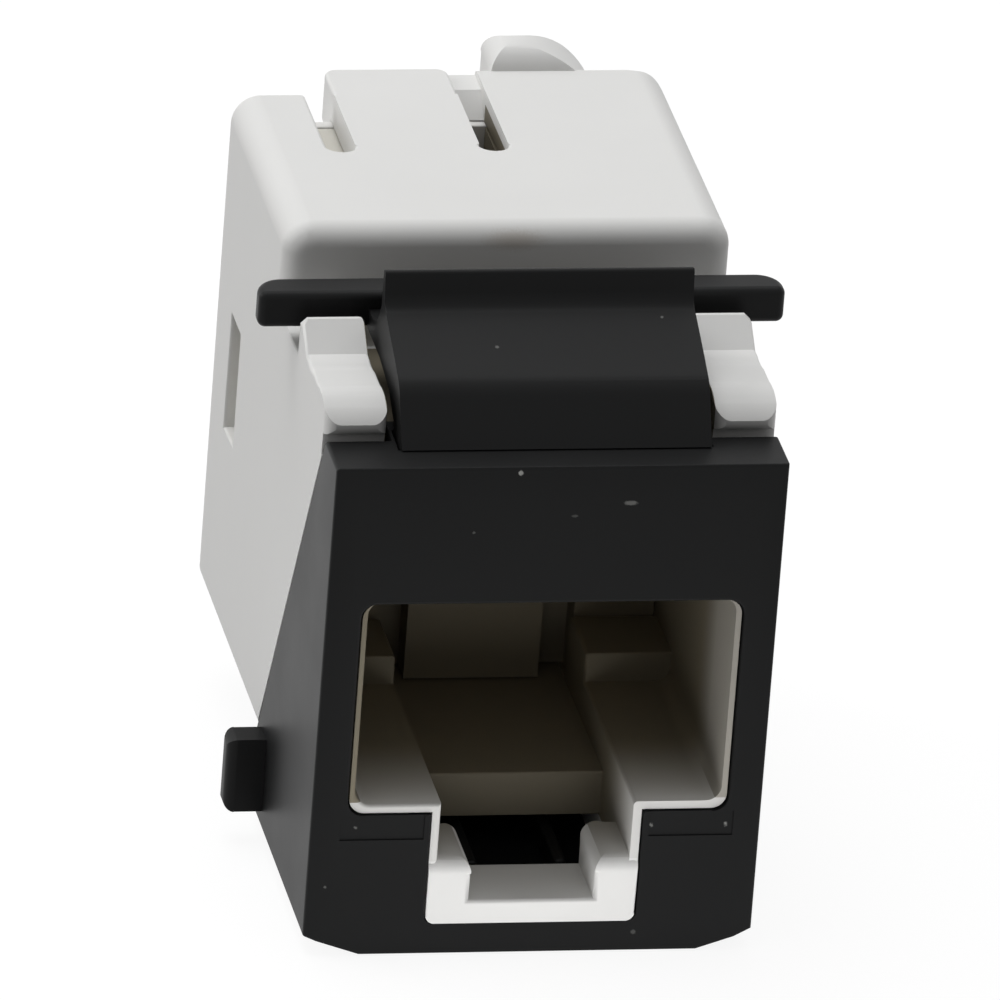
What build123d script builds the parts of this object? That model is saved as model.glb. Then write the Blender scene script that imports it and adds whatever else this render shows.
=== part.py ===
from build123d import *
from math import cos, radians, sin
import os

# Keystone jack, in millimetres. +X is to the right seen from the plug side, +Y goes back
# into the jack and +Z is up. The origin is on the front face, at the middle of the nose's
# lower edge, where it meets the lower edge of the panel opening.

# Front frame
nose_width = 14.5
nose_height = 16.9
frame_depth = 10.0
frame_top_depth = 2.3
skirt_corner_height = 3.15
face_thickness = 0.9
skirt_wall = 1.0
frame_floor = 1.05
frame_top_wall = 1.0
bottom_chamfer_width = 1.75
bottom_chamfer_height = 0.6
bezel_width = 0.65
bezel_top_width = 0.95
bezel_depth = 0.2
rib_spread = 2.9
rib_width = 0.4
rib_height = 0.85
rib_length = 5.2
sill_depth = 1.0
sill_gap = 0.1

# Port opening in the front frame, and the shallow bands under its two lower corners
opening_side = 1.12
opening_bottom = 4.88
opening_top_wall = 4.67
opening_corner = 0.5
notch_width = 6.85
notch_corner = 0.3
band_height = 0.85
band_depth = 0.1
band_margin = 0.2

# Where the jack meets its panel: the rim of the opening sits between catch and stops
panel_back = 8.15
panel_gap = 1.95
stop_reach = 1.25
stop_depth = 1.0
stop_bottom = 1.1
stop_height = 2.55
stop_corner = 0.35

# Release latch, sprung at its root
latch_side_gap = 0.28
hinge_radius = 0.7
hinge_clearance = 0.04
hinge_drop = 0.1
hinge_bed_depth = 1.4
hinge_bed_thickness = 1.6
latch_root_run = 0.9
knee_run = 0.25
knee_rise = 1.82
catch_foot_run = 3.45
catch_foot_rise = 3.07
catch_rise = 4.15
catch_land = 0.25
rim_floor_rise = 1.85
bar_depth = 1.3
bar_height = 1.22
bar_lift = 1.9
bar_swing_room = 1.4
ear_reach = 1.25
ear_corner = 0.25
ear_back_corner = 0.85
latch_edge = 0.12
knee_round = 1.4
catch_foot_round = 0.7

# Port, plug stops, latch channel and keeper in the housing
fit = 0.05
port_wall = 1.35
port_floor_step = 0.32
port_top_step = 0.07
liner_setback = 0.12
liner_round = 0.12
plug_stop_y = 8.9
plug_stop_height = 1.0
port_depth = 11.75
channel_width = 6.2
channel_floor = 3.9
channel_floor_front = 5.0
tunnel_top = 2.4
keeper_gap = 4.0
keeper_bar = 0.8
keeper_depth = 2.65
keeper_post_top = 3.3
keeper_round = 0.5

# Outside of the housing
housing_bottom = 3.15
housing_top_drop = 0.7
side_wall_rise = 1.2
block_rise = 4.15
block_corner = 0.95
block_front_round = 0.7
shoulder_width = 2.0
shoulder_rise = 1.8
nose_lower_round = 0.45
nose_slope_length = 1.7
nose_slope_drop = 0.6
nose_side_round = 0.5
groove_width = 0.3
groove_depth = 0.12
groove_setback = 0.7
ramp_length = 1.05
ridge_rise = 0.75
ridge_length = 0.15
ridge_gap = 0.55
ridge_edge = 0.2

# Contact wires, their carrier and the circuit board
contact_count = 8
contact_side_room = 0.93
wire_share = 0.43
wire_thickness = 0.32
wire_row_rise = 0.4
wire_row_step = 1.0
wire_bend_run = 0.85
wire_nose_y = 8.6
wire_nose_drop = 2.3
wire_tip_run = 1.8
wire_tip_rise = 1.0
wire_bend_radius = 0.8
wire_nose_radius = 0.6
wire_tail = 0.4
wire_hole_radius = 0.38
contact_room_side = 1.45
contact_room_front = 5.4
contact_room_rise = 1.1
carrier_depth = 2.25
carrier_sill = 0.1
carrier_rib_width = 4.4
carrier_recess_width = 1.05
carrier_recess_depth = 1.1
carrier_recess_height = 5.0
comb_slot_share = 0.67
comb_slot_drop = 0.4
board_thickness = 1.0

# Terminal block and its forked terminals
block_gap = 0.05
case_play = 0.1
terminal_depth = 6.0
terminals_per_row = 4
terminal_side = 1.5
upper_row_drop = 2.6
lower_row_rise = 2.6
blade_thickness = 0.5
blade_gap = 1.0
blade_back_margin = 1.0
blade_play = 0.05
fork_width = 0.4
fork_depth = 2.5
fork_mouth = 0.8
pin_width = 0.6
pin_hole_radius = 0.45
wire_slot_width = 1.15
wire_slot_depth = 3.8
wire_slot_margin = 1.0
core_margin = 0.95
core_height = 5.1
tail_room_depth = 0.8
tail_room_margin = 0.5
peg_radius = 0.75
peg_side = 1.2
peg_drop = 1.75
peg_length = 2.45
peg_play = 0.05

# Rear end of the housing: walls, snap windows, slots in the top, lip and saddle
body_wall = 1.0
body_lap = 0.5
body_corner = 0.4
body_bottom_round = 0.5
window_setback = 2.1
window_depth = 1.8
window_height = 4.1
window_play = 0.15
snap_reach = 0.75
lip_reach = 1.75
lip_thickness = 1.7
lip_corner = 1.3
lip_edge = 0.35
tongue_corner = 0.4
tongue_edge = 0.12
top_slot_width = 0.95
top_slot_setback = 1.85
top_groove_depth = 2.0
left_slot_inset = 2.85
right_slot_x = 0.6
bridge_depth = 2.0
bridge_drop = 0.25
bridge_ramp = 0.8
saddle_left = 1.55
saddle_width = 3.45
saddle_rise = 0.7
saddle_fall = 1.45
saddle_lap = 0.3
saddle_reach = 1.6
saddle_round = 0.8

# Rear cover: a cap pressed into the open rear end, with the cable entry
cap_gap = 0.05
cap_thickness = 1.2
cap_edge = 0.3
cap_peg_radius = 0.6
cap_peg_length = 1.5
cap_peg_spread = 6.1
cable_drop = 0.15
cable_radius = 3.3
collar_wall = 1.2
collar_reach = 2.4
collar_slot_width = 1.2

# Places that follow from the sizes
half_nose = nose_width / 2
nest_width = nose_width - 2 * skirt_wall
opening_width = nose_width - 2 * opening_side
opening_height = nose_height - opening_bottom - opening_top_wall
port_width = nose_width - 2 * port_wall
port_floor = opening_bottom + port_floor_step
port_top = opening_bottom + opening_height + port_top_step
port_height = port_top - port_floor
hinge_y = frame_top_depth
hinge_z = nose_height - hinge_drop
hinge_bed_back = hinge_y + hinge_bed_depth
catch_y = panel_back - panel_gap - catch_land
bar_back = panel_back + bar_depth
housing_top = nose_height - housing_top_drop
bar_bottom = housing_top + bar_lift
bar_top = bar_bottom + bar_height
shoulder_inner = half_nose - shoulder_width
latch_width = 2 * (shoulder_inner - latch_side_gap)
shoulder_front = frame_top_depth + fit
shoulder_top = housing_top + shoulder_rise
ridge_back = panel_back - ridge_gap
ridge_front = ridge_back - ridge_length
ridge_top = shoulder_top + ridge_rise
side_wall_top = housing_top + side_wall_rise
block_front = bar_back + bar_swing_room
block_top = housing_top + block_rise
contact_room_width = port_width - 2 * contact_room_side
contact_pitch = (contact_room_width - 2 * contact_side_room) / (contact_count - 1)
wire_width = contact_pitch * wire_share
comb_slot_width = contact_pitch * comb_slot_share
board_front = port_depth + carrier_depth
board_back = board_front + board_thickness
wire_row_low = port_top + wire_row_rise
wire_row_high = wire_row_low + wire_row_step
wire_nose_z = port_top - wire_nose_drop
contact_room_top = wire_row_high + contact_room_rise
carrier_bottom = channel_floor + carrier_sill
carrier_width = port_width - 2 * fit
inner_width = nose_width - 2 * body_wall
inner_bottom = housing_bottom + body_wall
inner_top = block_top - body_wall
rear_middle = (inner_bottom + inner_top) / 2
terminal_width = inner_width - 2 * case_play
terminal_pitch = (terminal_width - 2 * terminal_side) / (terminals_per_row - 1)
blade_width = terminal_pitch - blade_gap
terminal_bottom = inner_bottom + case_play
terminal_top = inner_top - case_play
terminal_front = board_back + block_gap
terminal_back = terminal_front + terminal_depth
blade_back = terminal_back - blade_back_margin
wire_slot_front = terminal_back - wire_slot_depth
core_bottom = rear_middle - core_height / 2
peg_x = terminal_width / 2 - peg_side
peg_z = rear_middle - peg_drop
cap_front = terminal_back + cap_gap
body_back = cap_front + body_lap
cap_back = cap_front + cap_thickness
lip_back = body_back + lip_reach
lip_bottom = block_top - lip_thickness
slot_front = board_back + top_slot_setback
window_front = board_back + window_setback
window_bottom = rear_middle - window_height / 2
left_slot_x = left_slot_inset - half_nose
cable_z = rear_middle - cable_drop
wire_xs = [(i - (contact_count - 1) / 2) * contact_pitch for i in range(contact_count)]
terminal_xs = [(i - (terminals_per_row - 1) / 2) * terminal_pitch for i in range(terminals_per_row)]
terminal_rows = (terminal_top - upper_row_drop, terminal_bottom + lower_row_rise)
terminal_places = [(x, z) for z in terminal_rows for x in terminal_xs]
peg_rows = (rear_middle - cap_peg_spread, rear_middle + cap_peg_spread)
cap_peg_places = [(x * terminal_pitch, z) for z in peg_rows for x in (-1, 1)]


def block(x0, x1, y0, y1, z0, z1):
    """A square-edged block between two corners."""
    size = Box(abs(x1 - x0), y1 - y0, z1 - z0)
    return Pos((x0 + x1) / 2, (y0 + y1) / 2, (z0 + z1) / 2) * size


def centred(width, y0, y1, z0, z1):
    """A block that is as far to the left of the middle as to the right."""
    return block(-width / 2, width / 2, y0, y1, z0, z1)


def across(outline, x0, x1):
    """A closed outline in Y and Z, drawn out along X."""
    side_view = Plane((x0, 0, 0), x_dir=(0, 1, 0), z_dir=(1, 0, 0))
    return extrude(side_view * make_face(Polyline(*outline, close=True)), amount=x1 - x0)


def along(sketch, y0, y1):
    """A sketch in X and Z, drawn out along Y."""
    front_view = Plane((0, y0, 0), x_dir=(1, 0, 0), z_dir=(0, -1, 0))
    return extrude(front_view * sketch, amount=y0 - y1)


def rod_along(x, z, radius, y0, y1):
    """A round rod along Y."""
    return along(Pos(x, z) * Circle(radius), y0, y1)


def middle_of(edge):
    return edge @ 0.5


def wire_row(index):
    """Height of a contact wire's hole: the wires take turns in two rows."""
    return wire_row_low if index % 2 == 0 else wire_row_high


def port_outline(width, bottom, height):
    """The port's rectangle with rounded corners, in X and Z."""
    return Pos(0, bottom + height / 2) * RectangleRounded(width, height, opening_corner)


def frame_profile():
    """The front frame seen from the side: upright face, short top and slanted skirt."""
    return [
        (0, 0),
        (0, nose_height),
        (frame_top_depth, nose_height),
        (frame_depth, skirt_corner_height),
        (frame_depth, 0),
    ]


def side_stop():
    """The block on the left skirt that bears on the back of the panel."""
    outer = -half_nose - stop_reach
    top = stop_bottom + stop_height
    stop = block(outer, -half_nose, panel_back, panel_back + stop_depth, stop_bottom, top)
    outer_face = stop.faces().sort_by(Axis.X)[0]
    return fillet(outer_face.edges(), stop_corner)


def hinge_bed():
    """A ledge behind the nose's top edge, with the round groove that the latch turns in."""
    bed_bottom = nose_height - hinge_bed_thickness
    bed_width = 2 * shoulder_inner - 4 * fit
    bed = centred(bed_width, face_thickness, hinge_bed_back, bed_bottom, nose_height)
    groove_length = latch_width + 2 * fit
    groove = Rot(0, 90, 0) * Cylinder(hinge_radius + hinge_clearance, groove_length)
    return bed, Pos(0, hinge_y, hinge_z) * groove


def front_frame():
    frame = across(frame_profile(), -half_nose, half_nose)
    for side in (-1, 1):
        bezel = Polyline(
            (side * half_nose, 0),
            (side * (half_nose - bezel_width), 0),
            (side * half_nose, bezel_depth),
            close=True,
        )
        frame -= extrude(Plane.XY * make_face(bezel), amount=nose_height)
    top_bezel = [(0, nose_height), (0, nose_height - bezel_top_width), (bezel_depth, nose_height)]
    frame -= across(top_bezel, -half_nose, half_nose)
    nest_top = nose_height - frame_top_wall
    frame -= centred(nest_width, face_thickness, frame_depth, frame_floor, nest_top)
    bed, groove = hinge_bed()
    frame = frame + bed - groove
    for side in (-1, 1):
        lower_corner = Polyline(
            (side * half_nose, 0),
            (side * half_nose, bottom_chamfer_height),
            (side * (half_nose - bottom_chamfer_width), 0),
            close=True,
        )
        frame -= along(make_face(lower_corner), 0, frame_depth)
    frame -= along(port_outline(opening_width, opening_bottom, opening_height), 0, face_thickness)
    notch_height = opening_bottom + opening_corner - frame_floor
    notch = Pos(0, frame_floor + notch_height / 2) * Rectangle(notch_width, notch_height)
    notch = fillet(notch.vertices().group_by(Axis.Y)[0], notch_corner)
    frame -= along(notch, 0, face_thickness)
    for side in (-1, 1):
        band_inner = side * (notch_width / 2 + band_margin)
        band_outer = side * (opening_width / 2 + band_margin)
        band_low = opening_bottom - band_height
        frame -= block(band_inner, band_outer, 0, band_depth, band_low, opening_bottom)
    for side in (-1, 1):
        rib_inner = side * (rib_spread - rib_width) / 2
        rib_outer = side * (rib_spread + rib_width) / 2
        rib_front = keeper_depth + sill_gap
        frame += block(rib_inner, rib_outer, rib_front, rib_front + rib_length, 0, frame_floor + rib_height)
    sill_width = channel_width - 2 * sill_gap
    sill_front = frame_depth - sill_depth
    frame += centred(sill_width, sill_front, frame_depth, 0, tunnel_top - sill_gap)
    stop = side_stop()
    return frame + stop + mirror(stop, Plane.YZ)


def latch_arm():
    """The bent arm with its catch, seen from the side and drawn out across the jack."""
    foot_angle = radians(30)
    outline = [
        (hinge_y - latch_root_run, hinge_z + hinge_drop + fit),
        (hinge_y + knee_run, nose_height + knee_rise),
        (hinge_y + catch_foot_run, nose_height + catch_foot_rise),
        (catch_y, nose_height + catch_rise),
        (catch_y + catch_land, nose_height + catch_rise),
        (catch_y + catch_land, nose_height + rim_floor_rise),
        (panel_back + ear_corner, nose_height + rim_floor_rise),
        (panel_back + ear_corner, bar_bottom + ear_corner),
        (panel_back, bar_bottom),
        (catch_y, bar_bottom),
        (hinge_bed_back + hinge_bed_depth / 4, nose_height + knee_rise / 2),
        (hinge_y + hinge_radius * cos(foot_angle), hinge_z + hinge_radius * sin(foot_angle)),
        (hinge_y, hinge_z),
    ]
    arm = across(outline, -latch_width / 2, latch_width / 2)
    front = [e for e in arm.edges().filter_by(Axis.X) if middle_of(e).Y < catch_y + catch_land + fit]
    knee = [e for e in front if abs(middle_of(e).Z - nose_height - knee_rise) < fit]
    arm = fillet(knee, knee_round)
    front = [e for e in arm.edges().filter_by(Axis.X) if middle_of(e).Y < catch_y + catch_land + fit]
    foot = [e for e in front if abs(middle_of(e).Z - nose_height - catch_foot_rise) < fit]
    arm = fillet(foot, catch_foot_round)
    top = [e for e in arm.edges().filter_by(Axis.X) if middle_of(e).Z > nose_height + catch_rise - fit]
    return fillet(top, latch_edge)


def release_latch():
    foot = Pos(0, hinge_y, hinge_z) * Rot(0, 90, 0) * Cylinder(hinge_radius, latch_width)
    half_bar = half_nose + ear_reach
    bar = centred(2 * half_bar, panel_back, bar_back, bar_bottom, bar_top)
    back_corners = [e for e in bar.edges().filter_by(Axis.Z) if middle_of(e).Y > bar_back - fit]
    bar = fillet(back_corners, ear_back_corner)
    return latch_arm() + foot + fillet(bar.edges(), ear_corner)


def shoulder(side):
    """A shoulder beside the latch: rounded nose, small groove, ramp and ridge."""
    ground = housing_top - nose_slope_drop
    nose_low = nose_height + fit
    nose_front = (shoulder_front, nose_low + nose_lower_round)
    nose_under = (shoulder_front + nose_lower_round, nose_low)
    slope_top = (shoulder_front + nose_slope_length, shoulder_top)
    slope_middle = (shoulder_front + nose_slope_length / 3, shoulder_top - nose_slope_drop / 4)
    ramp_start = ridge_front - ramp_length
    groove_end = ramp_start - groove_setback
    groove_start = groove_end - groove_width
    lower_round = RadiusArc(nose_under, nose_front, nose_lower_round)
    upper_round = ThreePointArc(nose_front, slope_middle, slope_top)
    top = Polyline(
        slope_top,
        (groove_start, shoulder_top),
        (groove_start, shoulder_top - groove_depth),
        (groove_end, shoulder_top - groove_depth),
        (groove_end, shoulder_top),
        (ramp_start, shoulder_top),
        (ridge_front, ridge_top),
        (ridge_back, ridge_top),
        (ridge_back, ground),
        (nose_under[0], ground),
        nose_under,
    )
    start = shoulder_inner if side > 0 else -half_nose
    side_view = Plane((start, 0, 0), x_dir=(0, 1, 0), z_dir=(1, 0, 0))
    solid = extrude(side_view * make_face(Curve() + [lower_round, upper_round, top]), amount=shoulder_width)
    ridge = [e for e in solid.edges() if middle_of(e).Z > ridge_top - fit]
    outer = [e for e in ridge if abs(middle_of(e).X) > half_nose - fit]
    solid = chamfer(outer, ridge_edge)
    plan = block(start, start + shoulder_width, shoulder_front, ridge_back, ground, ridge_top)
    front_corners = [e for e in plan.edges().filter_by(Axis.Z) if middle_of(e).Y < shoulder_front + fit]
    return solid & fillet(front_corners, nose_side_round)


def high_block(y0, y1):
    """The section of the jack's high rear part: full width, with rounded upper corners."""
    height = block_top - housing_bottom
    outline = Pos(0, housing_bottom + height / 2) * Rectangle(nose_width, height)
    return along(fillet(outline.vertices().group_by(Axis.Y)[-1], block_corner), y0, y1)


def rear_corners(shape, least_x):
    """The upright edges at the back of a lip, to the right of a place."""
    upright = shape.edges().filter_by(Axis.Z)
    return [e for e in upright if middle_of(e).X > least_x and middle_of(e).Y > lip_back - fit]


def rear_rim(shape):
    """The upper edges at the back of a lip."""
    return [e for e in shape.edges() if middle_of(e).Z > block_top - fit and middle_of(e).Y > body_back]


def rear_body():
    """The high part up to the rear: rounded edges and the lip along its upper rear edge."""
    high = high_block(block_front, body_back)
    upright = [e for e in high.edges().filter_by(Axis.Z) if middle_of(e).Y > body_back - fit]
    high = fillet(upright, body_corner)
    lower = [
        e
        for e in high.edges()
        if middle_of(e).Z < housing_bottom + fit and middle_of(e).Y > body_back - body_corner
    ]
    high = fillet(lower, body_bottom_round)
    front_edge = [
        e for e in high.edges() if middle_of(e).Y < block_front + fit and middle_of(e).Z > housing_top
    ]
    high = fillet(front_edge, block_front_round)
    lip_front = body_back - lip_corner
    half = top_slot_width / 2
    tongue = block(left_slot_x + half, right_slot_x - half, lip_front, lip_back, lip_bottom, block_top)
    tongue = fillet(rear_corners(tongue, left_slot_x), tongue_corner)
    tongue = fillet(rear_rim(tongue), tongue_edge)
    lip = block(right_slot_x - half, half_nose, lip_front, lip_back, lip_bottom, block_top)
    lip = fillet(rear_corners(lip, right_slot_x), lip_corner)
    lip = fillet(rear_rim(lip), lip_edge)
    return high + tongue + (lip & high_block(lip_front, lip_back))


def saddle():
    """The rounded saddle that stands up behind the lip: steep at its left, falling to its right."""
    top = block_top + saddle_rise
    right = saddle_left + saddle_width
    crown_x = saddle_left + saddle_round
    fall_radius = ((right - crown_x) ** 2 + saddle_fall**2) / (2 * saddle_fall)
    outline = Curve() + [
        Polyline(
            (right, top - saddle_fall),
            (right, lip_bottom),
            (saddle_left, lip_bottom),
            (saddle_left, top - saddle_round),
        ),
        RadiusArc((saddle_left, top - saddle_round), (crown_x, top), saddle_round),
        RadiusArc((crown_x, top), (right, top - saddle_fall), fall_radius),
    ]
    front = lip_back - saddle_lap
    back = lip_back + saddle_reach
    side_outline = Curve() + [
        Polyline(
            (back, top - saddle_round),
            (back, lip_bottom),
            (front, lip_bottom),
            (front, top - saddle_round),
        ),
        RadiusArc((front, top - saddle_round), (front + saddle_round, top), saddle_round),
        Line((front + saddle_round, top), (back - saddle_round, top)),
        RadiusArc((back - saddle_round, top), (back, top - saddle_round), saddle_round),
    ]
    side_view = Plane((saddle_left, 0, 0), x_dir=(0, 1, 0), z_dir=(1, 0, 0))
    rounded = extrude(side_view * make_face(side_outline), amount=saddle_width)
    return along(make_face(outline), front, back) & rounded


def top_slot(x, back):
    """A narrow slot in the top, rounded at its front end."""
    half = top_slot_width / 2
    front = slot_front + half
    sketch = Pos(x, front) * Circle(half)
    sketch += Pos(x, (front + back) / 2) * Rectangle(top_slot_width, back - front)
    return extrude(Plane.XY.offset(lip_bottom) * sketch, amount=lip_thickness)


def housing_outside():
    """The housing before it is hollowed: nest inside the frame, sides, shoulders and high part."""
    nest_top = nose_height - frame_top_wall - fit
    nest = centred(nest_width - 2 * fit, face_thickness, frame_depth - fit, frame_floor, nest_top)
    side_height = housing_top - housing_bottom
    section = Pos(0, housing_bottom + side_height / 2) * Rectangle(nose_width, side_height)
    section = fillet(section.vertices().group_by(Axis.Y)[0], body_bottom_round)
    sides_back = block_front + block_front_round
    sides = along(section, shoulder_front, sides_back)
    body = sides + shoulder(-1) + shoulder(1) + rear_body() + saddle()
    for side in (-1, 1):
        inner = side * shoulder_inner
        body += block(inner, side * half_nose, ridge_front, sides_back, housing_top - fit, side_wall_top)
    body -= Pos(0, fit, 0) * across(frame_profile(), -half_nose, half_nose)
    body += nest
    bed_bottom = nose_height - hinge_bed_thickness - fit
    return body - centred(2 * shoulder_inner, 0, hinge_bed_back + fit, bed_bottom, ridge_top)


def keeper():
    """The open frame at the mouth of the channel that the plug's latch hooks behind."""
    outer = notch_width / 2 - fit
    piece = centred(2 * outer, 0, keeper_depth, frame_floor, frame_floor + keeper_bar)
    for side in (-1, 1):
        inner = side * keeper_gap / 2
        post = block(inner, side * outer, 0, keeper_depth, frame_floor, keeper_post_top)
        top = [e for e in post.edges() if middle_of(e).Z > keeper_post_top - fit]
        rims = [e for e in top if middle_of(e).Y < keeper_depth - fit and abs(middle_of(e).X) < outer - fit]
        piece += fillet(rims, keeper_round)
    corners = [e for e in piece.edges().filter_by(Axis.Y) if middle_of(e).Z < frame_floor + fit]
    return fillet(corners, notch_corner)


def liner():
    """The front of the port and channel walls, which shows as a pale rim inside the opening."""
    rim_height = opening_height - fit
    outer = port_outline(opening_width - 2 * fit, opening_bottom + fit, rim_height)
    low = keeper_post_top - keeper_round
    low_height = opening_bottom + opening_corner - low
    outer += Pos(0, low + low_height / 2) * Rectangle(notch_width - 2 * fit, low_height)
    rim = along(outer, liner_setback, face_thickness)
    rim -= along(port_outline(port_width, port_floor, port_height), 0, face_thickness)
    rim -= centred(channel_width, 0, face_thickness, 0, port_floor + opening_corner)
    front = rim.faces().filter_by(Axis.Y).sort_by(Axis.Y)[0]
    edges = [e for e in front.edges() if low + fit < middle_of(e).Z < port_top - fit]
    port_edge = port_width / 2 + fit / 2
    in_port = [e for e in edges if middle_of(e).Z > port_floor - fit and abs(middle_of(e).X) < port_edge]
    in_channel = [e for e in edges if abs(middle_of(e).X) < (channel_width + fit) / 2]
    return fillet(in_port + in_channel, liner_round)


def jack_housing():
    body = housing_outside() + liner()
    body -= along(port_outline(port_width, port_floor, port_height), face_thickness, board_front)
    contact_room_low = port_top - opening_corner
    body -= centred(contact_room_width, contact_room_front, board_front, contact_room_low, contact_room_top)
    stop_top = port_floor + plug_stop_height
    body += centred(port_width, plug_stop_y, port_depth, port_floor, stop_top)
    body -= centred(channel_width, channel_floor_front, board_front, channel_floor, stop_top)
    body -= centred(channel_width, face_thickness, channel_floor_front, 0, stop_top)
    body -= centred(channel_width, channel_floor_front, frame_depth, 0, tunnel_top)
    body -= centred(carrier_width + 2 * fit, port_depth, board_front, carrier_bottom, contact_room_top)
    body -= centred(inner_width, board_front, body_back, inner_bottom, inner_top)
    body -= top_slot(left_slot_x, lip_back)
    bridge_front = lip_back - bridge_depth
    body -= top_slot(right_slot_x, bridge_front)
    half = top_slot_width / 2
    bridge_top = block_top - bridge_drop
    body -= block(right_slot_x - half, right_slot_x + half, bridge_front, lip_back, bridge_top, block_top)
    ramp = [
        (bridge_front, bridge_top - bridge_ramp),
        (bridge_front + bridge_ramp, bridge_top),
        (bridge_front, bridge_top),
    ]
    body -= across(ramp, right_slot_x - half, right_slot_x + half)
    window_back = window_front + window_depth
    window_top = window_bottom + window_height
    for side in (-1, 1):
        inner = side * inner_width / 2
        body -= block(inner, side * half_nose, window_front, window_back, window_bottom, window_top)
    return body + keeper()


def contact_carrier():
    """Insert behind the port: a comb for the wires above, a rib between two recesses below."""
    front = port_depth + fit
    body = centred(carrier_width, front, board_front - fit, carrier_bottom, contact_room_top - fit)
    for side in (-1, 1):
        inner = side * carrier_rib_width / 2
        outer = side * (carrier_rib_width / 2 + carrier_recess_width)
        recess_top = carrier_bottom + carrier_recess_height
        body -= block(inner, outer, front, front + carrier_recess_depth, carrier_bottom, recess_top)
        body -= rod_along(side * peg_x, peg_z, peg_radius + peg_play, front, board_front)
    half = comb_slot_width / 2
    slot_bottom = wire_nose_z - comb_slot_drop
    for x in wire_xs:
        body -= block(x - half, x + half, front, board_front, slot_bottom, contact_room_top)
    return body


def contact_wire(index):
    """A bent flat wire: tail in the board, long slope down to the nose, tip turned up."""
    x = wire_xs[index]
    row = wire_row(index)
    tail_end = board_back + wire_tail
    path = FilletPolyline(
        (x, tail_end, row),
        (x, port_depth + wire_bend_run, row),
        (x, wire_nose_y, wire_nose_z),
        (x, wire_nose_y - wire_tip_run, wire_nose_z + wire_tip_rise),
        radius=(wire_bend_radius, wire_nose_radius),
    )
    start = Plane((x, tail_end, row), x_dir=(1, 0, 0), z_dir=(0, -1, 0))
    return sweep(start * Rectangle(wire_width, wire_thickness), path=path)


def circuit_board():
    """The upright board, with a hole for each wire, each terminal pin and each peg."""
    board = centred(inner_width - 2 * fit, board_front, board_back, terminal_bottom, terminal_top)
    for index, x in enumerate(wire_xs):
        board -= rod_along(x, wire_row(index), wire_hole_radius, board_front, board_back)
    for x, z in terminal_places:
        board -= rod_along(x, z, pin_hole_radius, board_front, board_back)
    for side in (-1, 1):
        board -= rod_along(side * peg_x, peg_z, peg_radius + peg_play, board_front, board_back)
    return board


def idc_contact(x, z):
    """A flat terminal with a pin in front and a fork behind that cuts into the wire."""
    half = blade_thickness / 2
    blade = block(x - blade_width / 2, x + blade_width / 2, terminal_front, blade_back, z - half, z + half)
    blade += block(x - pin_width / 2, x + pin_width / 2, board_front, terminal_front, z - half, z + half)
    fork_front = blade_back - fork_depth
    blade -= block(x - fork_width / 2, x + fork_width / 2, fork_front, blade_back, z - half, z + half)
    mouth = Polyline(
        (x - fork_mouth / 2, blade_back),
        (x + fork_mouth / 2, blade_back),
        (x, blade_back - fork_mouth),
        close=True,
    )
    return blade - extrude(Plane.XY.offset(z - half) * make_face(mouth), amount=blade_thickness)


def snap_catch(side):
    """A wedge on the terminal block that shows in the housing's window."""
    wall = side * terminal_width / 2
    front = window_front + window_play
    wedge = Polyline(
        (wall, front),
        (wall + side * snap_reach, front),
        (wall, front + window_depth - 2 * window_play),
        close=True,
    )
    low = window_bottom + window_play
    return extrude(Plane.XY.offset(low) * make_face(wedge), amount=window_height - 2 * window_play)


def terminal_block():
    """The block behind the board: blade pockets, wire slots, room for the cable's core."""
    body = centred(terminal_width, terminal_front, terminal_back, terminal_bottom, terminal_top)
    reach = blade_width / 2 + blade_play
    half = blade_thickness / 2 + blade_play
    for x, z in terminal_places:
        body -= block(x - reach, x + reach, terminal_front, blade_back + blade_play, z - half, z + half)
    gap = wire_slot_width / 2
    slot_bottom = terminal_bottom + wire_slot_margin
    slot_top = terminal_top - wire_slot_margin
    for x in terminal_xs:
        body -= block(x - gap, x + gap, wire_slot_front, terminal_back, slot_bottom, slot_top)
    groove = top_slot_width / 2
    groove_left = right_slot_x - groove
    groove_right = right_slot_x + groove
    groove_bottom = terminal_top - top_groove_depth
    body -= block(groove_left, groove_right, slot_front, terminal_back, groove_bottom, terminal_top)
    peg_hole_front = terminal_back - cap_peg_length - peg_play
    for x, z in cap_peg_places:
        body -= rod_along(x, z, cap_peg_radius + peg_play, peg_hole_front, terminal_back)
    core_width = terminal_width - 2 * core_margin
    body -= centred(core_width, wire_slot_front, terminal_back, core_bottom, core_bottom + core_height)
    tail_room_back = terminal_front + tail_room_depth
    tail_low = wire_row_low - wire_width / 2 - tail_room_margin
    tail_high = wire_row_high + wire_width / 2 + tail_room_margin
    body -= centred(contact_room_width, terminal_front, tail_room_back, tail_low, tail_high)
    for side in (-1, 1):
        body += rod_along(side * peg_x, peg_z, peg_radius, terminal_front - peg_length, terminal_front)
        body += snap_catch(side)
    return body


def cable_collar():
    """A split collar round the cable entry, and the hole through it."""
    collar_radius = cable_radius + collar_wall
    collar_back = body_back + collar_reach
    collar = rod_along(0, cable_z, collar_radius, cap_front, collar_back)
    hole = rod_along(0, cable_z, cable_radius, cap_front, collar_back)
    half = collar_slot_width / 2
    for turn in (45, 135, 225, 315):
        slot = block(cable_radius / 2, collar_radius + fit, cap_back, collar_back, -half, half)
        collar -= Pos(0, 0, cable_z) * Rot(0, turn, 0) * slot
    return collar, hole


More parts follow.
